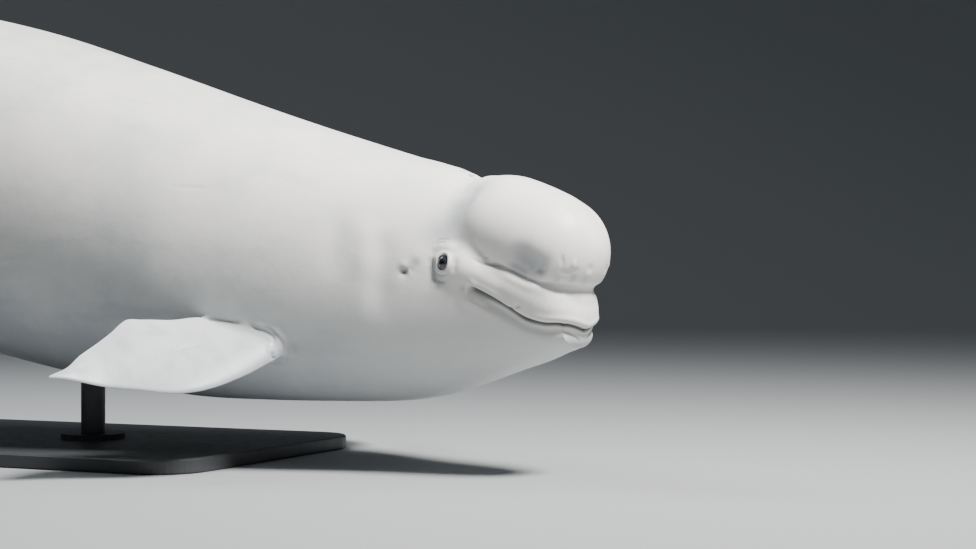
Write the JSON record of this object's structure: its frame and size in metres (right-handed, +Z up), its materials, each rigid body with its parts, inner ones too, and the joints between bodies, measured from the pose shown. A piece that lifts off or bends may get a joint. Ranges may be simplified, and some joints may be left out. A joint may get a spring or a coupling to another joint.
{
  "type": "beluga whale",
  "caption": "Life-size still model of an adult beluga whale, gliding nose down with its head turned to its right, held by a plain display stand.",
  "frame": {"origin": "middle of the underside of the stand's base, on the floor", "axes": "+X the way the whale swims, +Y to its left, +Z up"},
  "size_m": [4.2633, 1.421, 1.255],
  "materials": {
    "skin": "smooth white skin with faint grey shading and scuffs",
    "eye": "wet and nearly black",
    "stand": "plain dark grey satin paint"
  },
  "bodies": {
    "root": {"head": "skin", "melon": "skin", "lower_jaw": "skin", "eye_right": "eye", "eye_left": "eye", "neck": "skin", "chest": "skin", "belly": "skin", "loin": "skin", "dorsal_ridge": "skin", "flipper_right": "skin", "flipper_left": "skin", "tail_stock": "skin", "fluke_right": "skin", "fluke_left": "skin", "stand_base": "stand", "stand_rod_front": "stand", "stand_rod_rear": "stand"}
  },
  "joints": []
}
